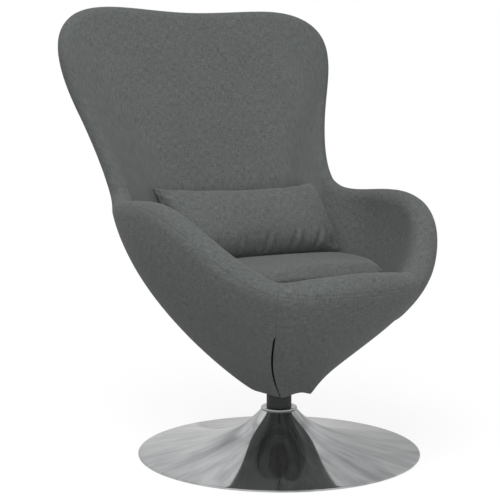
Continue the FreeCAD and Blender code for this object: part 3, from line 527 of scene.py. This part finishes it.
CLOTH_DARK, CLOTH_LIGHT = (0.088, 0.0950, 0.0927), (0.158, 0.1690, 0.1655)
seamed_linen = linen("seamed_linen", CLOTH_DARK, CLOTH_LIGHT, True)
plain_linen = linen("plain_linen", CLOTH_DARK, CLOTH_LIGHT, False)
# Painted shade: a near-black cloth colour for the sheets behind the slits, standing for the shade inside them
slit_shade_paint = finish("slit_lining_cloth", (0.006, 0.006, 0.006), (0.012, 0.012, 0.012), 900, 40, (0.9, 1.0),
                    bump=0.0004)
chrome = finish("polished_chrome", (0.50, 0.507, 0.515), (0.56, 0.566, 0.573), 35, 9, (0.03, 0.07), 1.0)
node_finish = {
    "foam": finish("pale_foam", (0.70, 0.66, 0.52), (0.82, 0.78, 0.66), 700, 20, (0.9, 1.0), bump=0.0006),
    "wadding": finish("white_fibre", (0.78, 0.78, 0.76), (0.88, 0.88, 0.86), 500, 25, (0.9, 1.0),
                      bump=0.0008),
    "webbing": finish("strap_weave", (0.02, 0.02, 0.02), (0.06, 0.06, 0.06), 800, 50, (0.8, 0.95),
                      bump=0.0004),
    "frame_paint": finish("black_powder_coat", (0.018, 0.018, 0.02), (0.04, 0.04, 0.043), 1200, 30,
                          (0.45, 0.6), bump=0.0002),
    "board_wood": finish("plain_plywood", (0.42, 0.29, 0.17), (0.62, 0.47, 0.30), 160, 12, (0.55, 0.7),
                         bump=0.0002),
    "steel": finish("zinc_plate", (0.45, 0.45, 0.46), (0.62, 0.62, 0.64), 400, 30, (0.25, 0.4), 1.0),
    "bearing_plastic": finish("bearing_plastic", (0.66, 0.65, 0.60), (0.78, 0.77, 0.72), 500, 30, (0.4, 0.5)),
    "sleeve_black": finish("matte_black_sleeve", (0.020, 0.021, 0.022), (0.034, 0.035, 0.036), 900, 25,
                           (0.5, 0.62), bump=0.0001),
    "bright_chrome": chrome,
    "floor_rubber": finish("black_rubber", (0.012, 0.012, 0.012), (0.028, 0.028, 0.028), 700, 40,
                           (0.75, 0.9), bump=0.0003),
    "cover_fabric": finish("cloth_reverse", CLOTH_DARK, CLOTH_LIGHT, 900, 40, (0.9, 1.0), bump=0.0004),
}

slot_of = {entry["node"]: entry["material_slot"] for entry in frame["record"]["subparts"]}
for name, slot_name in slot_of.items():
    mesh = frame["nodes"][name].data
    mesh.materials.clear()
    mesh.materials.append(node_finish[slot_name])


# Bucket covers: each panel's edges, its lower and upper paths, its shaping and the nodes that it stands for
HEM = level(0.0)
PANELS = (
    ("front_panel", slit_edge(-CORNER_SEAM, -1, 0), slit_edge(CORNER_SEAM, 1, 0), HEM, crest,
     {"droop": flap(FRONT_FLAP, 1, 1)}, ("front_panel_cover", "front_wadding")),
    ("side_panel_right", slit_edge(CORNER_SEAM, 1, SLIT_WIDTH), at_place(TOP), HEM, crest,
     {"droop": flap(SIDE_FLAP, 1, 0), "spread": (SLIT_SPREAD, 0)}, ("side_cover_right", "side_wadding_right")),
    ("side_panel_left", at_place(-TOP), slit_edge(-CORNER_SEAM, -1, SLIT_WIDTH), HEM, crest,
     {"droop": flap(SIDE_FLAP, 0, 1)}, ("side_cover_left", "side_wadding_left")),
    ("front_lip", at_place(-CORNER_SEAM), at_place(CORNER_SEAM), crest, level(LIP_END),
     {"stitched": (0,), "dips": (CORNER_DIP, CORNER_DIP)}, ("front_lip_cover", "front_foam")),
    ("inner_arm_right", at_place(CORNER_SEAM), at_place(WAIST_SEAM), crest, level(ARM_END),
     {"dips": (CORNER_DIP, 0)}, ("inner_arm_cover_right", "arm_foam_right")),
    ("inner_arm_left", at_place(-WAIST_SEAM), at_place(-CORNER_SEAM), crest, level(ARM_END),
     {"dips": (0, CORNER_DIP)}, ("inner_arm_cover_left", "arm_foam_left")),
    ("inner_back", at_place(WAIST_SEAM), at_place(LOOP - WAIST_SEAM), crest, level(BACK_END),
     {}, ("inner_back_cover", "back_foam")),
)
for name, first_edge, last_edge, lower, upper, shaping, solids in PANELS:
    panel = cloth_panel(name, first_edge, last_edge, lower, upper, seamed_linen, **shaping)
    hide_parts(*solids)

# Painted shade behind the slits: near-black sheets sunk behind each slit stand for the shade inside it; how
# far each reaches to the front and to the side of the seam, and its two ends
SHADE_SHEET_FRONT, SHADE_SHEET_SIDE = 0.3, 0.45
SHADE_SHEET_LOW, SHADE_SHEET_HIGH = 0.02, SLIT_TOP + 0.08
for side, tag in ((1, "right"), (-1, "left")):
    low, high = sorted((side * (CORNER_SEAM - SHADE_SHEET_FRONT), side * (CORNER_SEAM + SHADE_SHEET_SIDE)))
    lining = cloth_panel("slit_lining_" + tag, at_place(low), at_place(high), level(SHADE_SHEET_LOW),
                         level(SHADE_SHEET_HIGH), slit_shade_paint, puff=0.0, sink=14.0, spacing=14)


FOOT_LINING_PATH, FOOT_LINING_INSET = 0.05, 7.0
FOOT_HOLE_RADIUS, FOOT_HOLE_RISE = 31, 3


def foot_lining():
    """The cloth that closes the bucket's foot round the column."""
    places = np.linspace(0, LOOP, 97)[:-1]
    hem = skin(places, np.full_like(places, FOOT_LINING_PATH), np.full_like(places, -FOOT_LINING_INSET))
    columns, rows = len(places), 9
    height = hem[:, 2].mean() + FOOT_HOLE_RISE
    bm = bmesh.new()
    bmesh.ops.create_grid(bm, x_segments=columns, y_segments=rows - 1, size=0.5)
    for vertex in bm.verts:
        outer = hem[round((vertex.co.x + 0.5) * columns) % columns]
        inner = np.array([*(outer[:2] * FOOT_HOLE_RADIUS / np.hypot(outer[0], outer[1])), height])
        vertex.co = (outer + (inner - outer) * (vertex.co.y + 0.5)) * MM
    bmesh.ops.remove_doubles(bm, verts=bm.verts, dist=1e-6)
    bm.normal_update()
    if sum(face.normal.z for face in bm.faces) > 0:
        bmesh.ops.reverse_faces(bm, faces=bm.faces)
    piece = new_piece("foot_lining", bm, "seat", plain_linen)
    write_uv(piece.data, "cloth", [(vertex.co.x, vertex.co.y) for vertex in piece.data.vertices])
    return piece


foot_lining()


# The deck's edge: how far it tucks in and lies low, and the insets with rises, in metres, that lift its middle
DECK_TUCK, DECK_EDGE_DROP = 1.0, 6
DECK_RISE = ((0.004, 0.0035), (0.008, 0.002), (0.02, 0.0005), (0.04, 0.0))


def deck_panel():
    """The flat cloth deck under the cushion, its edge tucked in beside the inner covers."""
    places = np.linspace(0, LOOP, 129)[:-1]
    low, high = np.full_like(places, 2.0), np.full_like(places, 3.0)
    for _ in range(40):
        path = (low + high) / 2
        higher = skin(places, path)[:, 2] > DECK_TOP
        low, high = np.where(higher, path, low), np.where(higher, high, path)
    outline = skin(places, low, DECK_TUCK)
    bm = bmesh.new()
    bmesh.ops.create_circle(bm, cap_ends=True, segments=len(places), radius=1.0)
    bm.verts.ensure_lookup_table()
    for vertex, point in zip(bm.verts, outline):
        vertex.co = (point[0] * MM, point[1] * MM, (DECK_TOP - DECK_EDGE_DROP) * MM)
    bm.normal_update()
    for thickness, depth in DECK_RISE:
        bmesh.ops.inset_region(bm, faces=bm.faces[-1:], thickness=thickness, depth=depth)
        bm.faces.ensure_lookup_table()
    bmesh.ops.recalc_face_normals(bm, faces=bm.faces)
    if sum(face.normal.z * face.calc_area() for face in bm.faces) < 0:
        bmesh.ops.reverse_faces(bm, faces=bm.faces)
    piece = new_piece("seat_deck", bm, "seat", plain_linen)
    write_uv(piece.data, "cloth", [(v.co.x, v.co.y) for v in piece.data.vertices])
    return piece


deck = deck_panel()
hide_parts("deck_cover", "seat_foam")


# Loose cushions
def block(segments):
    """A unit block of even quads, from -1 to 1 each way."""
    bm = bmesh.new()
    bmesh.ops.create_cube(bm, size=2.0)
    bmesh.ops.subdivide_edges(bm, edges=bm.edges, cuts=segments, use_grid_fill=True)
    return bm


def remeshed(bm, voxel):
    mesh = bpy.data.meshes.new("form")
    bm.to_mesh(mesh)
    bm.free()
    source = bpy.data.objects.new("form", mesh)
    scene.collection.objects.link(source)
    even = source.modifiers.new("even", "REMESH")
    even.mode = "VOXEL"
    even.voxel_size = voxel
    graph = bpy.context.evaluated_depsgraph_get()
    result = bpy.data.meshes.new_from_object(source.evaluated_get(graph))
    bpy.data.objects.remove(source)
    return result


def puffed(mesh, pressure, frames, cap):
    """The mesh after cloth simulation under inner pressure, with no point moved further than the cap."""
    start = np.empty(len(mesh.vertices) * 3)
    mesh.vertices.foreach_get("co", start)
    start = start.reshape(-1, 3)
    trial = bpy.data.objects.new("trial", mesh)
    scene.collection.objects.link(trial)
    cloth = trial.modifiers.new("cloth", "CLOTH")
    settings = cloth.settings
    settings.use_pressure = True
    settings.uniform_pressure_force = pressure
    settings.effector_weights.gravity = 0.0
    settings.mass = 0.2
    settings.quality = 6
    settings.tension_stiffness = 12
    settings.compression_stiffness = 4
    settings.bending_stiffness = 0.6
    cloth.point_cache.frame_start, cloth.point_cache.frame_end = 1, frames
    for number in range(1, frames + 1):
        scene.frame_set(number)
    graph = bpy.context.evaluated_depsgraph_get()
    moved = trial.evaluated_get(graph).data
    end = np.empty(len(moved.vertices) * 3)
    moved.vertices.foreach_get("co", end)
    step = end.reshape(-1, 3) - start
    far = np.linalg.norm(step, axis=1, keepdims=True)
    bpy.data.objects.remove(trial)
    scene.frame_set(1)
    return start + step * np.minimum(1, cap / np.maximum(far, 1e-9))


def soft_piece(name, mesh, points, body, material, cloth_uv):
    mesh.vertices.foreach_set("co", np.asarray(points, np.float64).ravel())
    mesh.update()
    bm = bmesh.new()
    bm.from_mesh(mesh)
    bpy.data.meshes.remove(mesh)
    bmesh.ops.smooth_vert(bm, verts=bm.verts, factor=0.4, use_axis_x=True, use_axis_y=True, use_axis_z=True)
    bm.normal_update()
    piece = new_piece(name, bm, body, material)
    write_uv(piece.data, "cloth", cloth_uv([vertex.co for vertex in piece.data.vertices]))
    fine = piece.modifiers.new("fine", "SUBSURF")
    fine.levels = fine.render_levels = 1
    return piece


CUSHION_Y = (-186, -180, -160, -130, -90, -40, 30, 80, 104, 117)
CUSHION_HALF = (136, 157, 178, 195, 212, 223, 220, 198, 172, 146)
CUSHION_BOTTOM, CUSHION_THICK, CUSHION_CROWN = 376.8, 46.0, 5.0
CUSHION_MARGIN, CUSHION_LIFT = 5, 2
CUSHION_TOP_ROUND, CUSHION_LOW_ROUND, CUSHION_REAR_DROP = 5, 6, 22


def seat_cushion():
    """A thin rounded seat pad with a soft crown, thinner at its rear."""
    bm = block(23)
    middle_y = (CUSHION_Y[0] + CUSHION_Y[-1]) / 2
    half_y = (CUSHION_Y[-1] - CUSHION_Y[0]) / 2 - CUSHION_MARGIN
    for vertex in bm.verts:
        a, b, c = vertex.co
        y = middle_y + half_y * b
        half = np.interp(y, CUSHION_Y, CUSHION_HALF) - CUSHION_MARGIN
        rim = max(0.0, (max(abs(a), abs(b)) - 0.75) / 0.25) ** 2
        rear = max(0.0, (b - 0.35) / 0.65) ** 2
        top = CUSHION_THICK - CUSHION_LIFT - CUSHION_TOP_ROUND * rim - CUSHION_REAR_DROP * rear
        top += CUSHION_CROWN * (1 - a * a) * (1 - b * b)
        raised = CUSHION_LOW_ROUND * rim
        z = CUSHION_BOTTOM + CUSHION_LIFT + (raised if c < 0 else 0)
        z += (c + 1) / 2 * (top - CUSHION_LIFT - raised)
        vertex.co = (a * half * MM, y * MM, z * MM)
    mesh = remeshed(bm, 0.005)
    points = puffed(mesh, 4.0, 20, 0.010)
    points[:, 2] = np.maximum(points[:, 2], (CUSHION_BOTTOM + 0.2) * MM)
    return soft_piece("seat_cushion", mesh, points, "seat_cushion", plain_linen,
                      lambda cos: [(co.x, co.y + 0.5 * co.z) for co in cos])


PILLOW_CENTRE, PILLOW_LEAN = (0, 133, 497.4), math.radians(33)
LEAN_SIN, LEAN_COS = math.sin(PILLOW_LEAN), math.cos(PILLOW_LEAN)
PILLOW_HALF_WIDTH, PILLOW_HALF_HEIGHT, PILLOW_EDGE = 221, 101, 2.5
PILLOW_REAR_BULGE, PILLOW_FRONT_BULGE = 50, 49

# Gathers along the pillow's lower front seam: each one's place, slant and depth
PILLOW_CREASES = (
    (-150, 0.10, 3.0), (-112, -0.15, 4.0), (-68, 0.25, 4.0), (-38, -0.20, 5.0), (2, 0.35, 5.0),
    (34, -0.10, 6.0), (70, 0.40, 6.5), (104, 0.05, 5.5), (136, 0.40, 6.0), (172, -0.05, 6.5),
    (194, -0.50, 7.0),
)


def pillow_place(x, out, high):
    """From the pillow's own width, front bulge and height to the chair's frame, in millimetres."""
    y = PILLOW_CENTRE[1] - out * LEAN_COS + high * LEAN_SIN
    z = PILLOW_CENTRE[2] + out * LEAN_SIN + high * LEAN_COS
    return (x * MM, y * MM, z * MM)


def crease_pillow(points):
    """Draws the cloth in along the gathers and at the corners."""
    x, y, z = (points / MM - np.array(PILLOW_CENTRE)).T
    out, high = z * LEAN_SIN - y * LEAN_COS, y * LEAN_SIN + z * LEAN_COS
    low = (1 - smooth(high, -82, -36)) * smooth(high, -98, -90) * smooth(out, 2, 12)
    pulled = np.zeros_like(x)
    for place, slant, depth in PILLOW_CREASES:
        off = x - place - slant * (high + 92)
        pulled += 1.3 * depth * (np.exp(-(off / 5.0) ** 2) - 0.4 * np.exp(-((np.abs(off) - 12) / 6) ** 2))
    ear = 7 * np.exp(-((np.abs(x) - 194) / 15) ** 2 - ((np.abs(high) - 76) / 16) ** 2) * smooth(out, 0, 8)
    return points + (pulled * low + ear)[:, None] * np.array([0, LEAN_COS, -LEAN_SIN]) * MM


def lumbar_pillow():
    """A stuffed oblong pillow with knife edges, creased along its lower front edge."""
    bm = block(31)
    for vertex in bm.verts:
        a, b, c = vertex.co
        sunk = c + 0.24 * (1 - c * c)
        across, up = 1 - abs(a) ** 5, 1 - abs(sunk) ** 2.6
        full = max(across, 0.0) ** 0.55 * max(up, 0.0) ** 0.7
        drawn = 1 - 0.035 * (1 - abs(c) ** 3) * abs(a) ** 6
        high = PILLOW_HALF_HEIGHT * c * (1 - 0.07 * (1 - abs(a) ** 3))
        bulge = PILLOW_FRONT_BULGE if b < 0 else PILLOW_REAR_BULGE
        vertex.co = pillow_place(PILLOW_HALF_WIDTH * a * drawn, -b * (PILLOW_EDGE + bulge * full), high)
    mesh = remeshed(bm, 0.004)
    points = crease_pillow(puffed(mesh, 4.0, 20, 0.014))
    return soft_piece("lumbar_pillow", mesh, points, "lumbar_pillow", plain_linen,
                      lambda cos: [(co.x, co.z * 1.2) for co in cos])


cushion = seat_cushion()
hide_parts("seat_cushion_top", "seat_cushion_bottom", "seat_cushion_core")
pillow = lumbar_pillow()
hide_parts("pillow_front", "pillow_back", "pillow_core")


# Bright base
def turned(name, profile, body, slot, material, steps=160):
    """A piece turned about the column from a closed profile of (radius, height) in millimetres."""
    bm = bmesh.new()
    ring = [bm.verts.new((radius * MM, 0, height * MM)) for radius, height in profile]
    edges = [bm.edges.new((a, b)) for a, b in zip(ring, ring[1:] + ring[:1])]
    bmesh.ops.spin(bm, geom=ring + edges, cent=(0, 0, 0), axis=(0, 0, 1), angle=2 * math.pi, steps=steps,
                   use_merge=True)
    bmesh.ops.remove_doubles(bm, verts=bm.verts, dist=1e-6)
    bmesh.ops.recalc_face_normals(bm, faces=bm.faces)
    piece = new_piece(name, bm, body, material)
    piece.data.set_sharp_from_angle(angle=math.radians(50))
    return piece


def flare(corners, count):
    """Points of the smooth curve from the first to the last of four corners."""
    profile = []
    for i in range(count + 1):
        t = i / count
        weights = ((1 - t) ** 3, 3 * (1 - t) ** 2 * t, 3 * (1 - t) * t * t, t ** 3)
        profile.append(tuple(sum(w * corner[k] for w, corner in zip(weights, corners)) for k in (0, 1)))
    return profile


def rounded(centre, radius, first, last, count):
    """Points of an arc, with angles in degrees from outwards to upwards."""
    turns = [math.radians(first + (last - first) * i / count) for i in range(count + 1)]
    return [(centre[0] + radius * math.cos(a), centre[1] + radius * math.sin(a)) for a in turns]


# Radius and height of the flare's corners from neck to edge, then the rolled edge, the collar and the sleeve
OUTSIDE = ((39.0, 98.0), (74, 56.3), (118, 34.1), (307.6, 5.4))
INSIDE = ((37.5, 98.0), (72.5, 54.8), (116.5, 32.6), (305.6, 4.1))
EDGE_ROLL, EDGE_ROLL_CENTRE, EDGE_FOOT = 2.1, (307.6, 3.3), (305.6, 1.5)
COLLAR_ROLL, COLLAR_CENTRE, COLLAR_BORE = 2.9, (37.0, 101), 28
COLLAR_TOP, COLLAR_FOOT = 103.9, 98.1
SLEEVE_RADIUS, SLEEVE_BORE, SLEEVE_BEVEL = 27.4, 25.3, 0.8
SLEEVE_FOOT, SLEEVE_TOP = 95, 232

edge_roll = rounded(EDGE_ROLL_CENTRE, EDGE_ROLL, 90, -75, 8)
trumpet = turned("trumpet_base", flare(OUTSIDE, 72) + edge_roll[1:] + [EDGE_FOOT] + flare(INSIDE, 48)[::-1],
                 "base", "bright_chrome", spun_chrome(), 192)
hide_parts("base_trumpet")
collar_roll = rounded(COLLAR_CENTRE, COLLAR_ROLL, -90, 90, 12)
collar = turned("bright_collar", collar_roll + [(COLLAR_BORE, COLLAR_TOP), (COLLAR_BORE, COLLAR_FOOT)],
                "base", "bright_chrome", chrome, 128)
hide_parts("collar_ring")
sleeve_wall = [
    (SLEEVE_RADIUS, SLEEVE_FOOT), (SLEEVE_RADIUS, SLEEVE_TOP - SLEEVE_BEVEL),
    (SLEEVE_RADIUS - SLEEVE_BEVEL, SLEEVE_TOP), (SLEEVE_BORE, SLEEVE_TOP), (SLEEVE_BORE, SLEEVE_FOOT),
]
sleeve = turned("black_sleeve", sleeve_wall, "base", "sleeve_black", node_finish["sleeve_black"], 96)
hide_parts("column_sleeve")


# Studio
def stage_sheet(name, size, material):
    bm = bmesh.new()
    bmesh.ops.create_grid(bm, x_segments=1, y_segments=1, size=size)
    mesh = bpy.data.meshes.new(name)
    bm.to_mesh(mesh)
    bm.free()
    sheet = bpy.data.objects.new(name, mesh)
    scene.collection.objects.link(sheet)
    mesh.materials.append(material)


# How bright the floor's own white is to gloss and to soft light, and how far out the chair's shadow stays
FLOOR_GLOSS, FLOOR_SOFT = 0.55, 0.35
SHADOW_NEAR, SHADOW_FAR = 0.35, 1.5


def floor_paint():
    """A white floor. Most of its brightness is its own, and shadows stay near the chair."""
    material, tree, shader = surface("studio_floor")
    shader.inputs["Roughness"].default_value = 1.0
    shader.inputs["Specular IOR Level"].default_value = 0.0
    place = add(tree, "TexCoord")
    far = add(tree, "VectorMath", operation="LENGTH", links={0: place.outputs["Object"]})
    fade = add(tree, "MapRange", interpolation_type="SMOOTHSTEP", links={"Value": far.outputs["Value"]},
               inputs={"From Min": SHADOW_NEAR, "From Max": SHADOW_FAR})
    paint = ramp(tree, fade.outputs["Result"], 0.0, 1.0, (0.3, 0.3, 0.3), (0, 0, 0))
    tree.links.new(paint, shader.inputs["Base Color"])
    rays = add(tree, "LightPath")
    seen = calc(tree, "MAXIMUM", rays.outputs["Is Camera Ray"], rays.outputs["Is Transmission Ray"])
    seen = calc(tree, "MAXIMUM", seen, calc(tree, "MULTIPLY", rays.outputs["Is Glossy Ray"], FLOOR_GLOSS))
    seen = calc(tree, "MAXIMUM", seen, FLOOR_SOFT)
    own = add(tree, "MapRange", links={"Value": fade.outputs["Result"]},
              inputs={"To Min": 0.80, "To Max": 1.0})
    shader.inputs["Emission Color"].default_value = (1, 1, 1, 1)
    tree.links.new(calc(tree, "MULTIPLY", seen, own.outputs["Result"]), shader.inputs["Emission Strength"])
    return material


stage_sheet("floor", 30.0, floor_paint())


def studio_world():
    """White for the eye, even soft light for the chair, and pale upright panels for gloss."""
    world = bpy.data.worlds.new("studio")
    scene.world = world
    world.use_nodes = True
    tree = world.node_tree
    tree.nodes.clear()
    rays = add(tree, "LightPath")
    seen = calc(tree, "MAXIMUM", rays.outputs["Is Camera Ray"], rays.outputs["Is Transmission Ray"])
    even = add(tree, "MapRange", links={"Value": seen}, inputs={"To Min": 0.52, "To Max": 1.0})
    direction = add(tree, "TexCoord")
    upright = add(tree, "VectorMath", operation="MULTIPLY", links={0: direction.outputs["Generated"]})
    upright.inputs[1].default_value = (1, 1, 0.12)
    panels = add(tree, "TexNoise", inputs={"Scale": 3.2, "Detail": 2.5}, links={"Vector": upright.outputs[0]})
    side = add(tree, "SeparateXYZ", links={0: direction.outputs["Generated"]})
    panel_level = add(tree, "MapRange", links={"Value": panels.outputs["Fac"]},
                      inputs={"From Min": 0.36, "From Max": 0.56, "To Min": 0.55, "To Max": 0.95})
    dimmer = add(tree, "MapRange", links={"Value": side.outputs["X"]},
                 inputs={"From Min": -0.6, "From Max": 0.7, "To Min": 1.0, "To Max": 0.72})
    gloss = calc(tree, "MULTIPLY", panel_level.outputs["Result"], dimmer.outputs["Result"])
    chosen = add(tree, "Mix", data_type="FLOAT", links={"Factor": rays.outputs["Is Glossy Ray"]})
    values_in = [socket for socket in chosen.inputs if socket.type == "VALUE" and socket.name in ("A", "B")]
    tree.links.new(even.outputs["Result"], values_in[0])
    tree.links.new(gloss, values_in[1])
    sky = add(tree, "Background", links={"Strength": chosen.outputs["Result"]})
    sky.inputs["Color"].default_value = (1, 1, 1, 1)
    out = tree.nodes.new("ShaderNodeOutputWorld")
    tree.links.new(sky.outputs[0], out.inputs[0])


studio_world()


def lamp(name, place, target, size, power):
    data = bpy.data.lights.new(name, "AREA")
    data.shape = "DISK"
    data.size = size
    data.energy = power
    light = bpy.data.objects.new(name, data)
    scene.collection.objects.link(light)
    light.location = place
    light.visible_glossy = False
    aim = np.array(target, float) - np.array(place, float)
    light.rotation_euler = Vector(aim).to_track_quat("-Z", "Y").to_euler()


lamp("over_lamp", (-1.3, -1.0, 3.0), (0, 0, 0.5), 2.6, 45)
lamp("front_lamp", (-0.7, -3.2, 0.7), (0, 0, 0.35), 1.3, 26)


SENSOR, LENS = 36.0, 98.31
CAMERA_PLACE, LOOK_DOWN, LOOK_ROUND = (-1.579, -2.483, 0.806), 6.92, -31.21
camera_data = bpy.data.cameras.new("camera")
camera_data.sensor_width = SENSOR
camera_data.lens = LENS
camera = bpy.data.objects.new("camera", camera_data)
scene.collection.objects.link(camera)
camera.location = CAMERA_PLACE
camera.rotation_euler = (math.radians(90 - LOOK_DOWN), 0, math.radians(LOOK_ROUND))
scene.camera = camera
scene.view_settings.view_transform = "Standard"
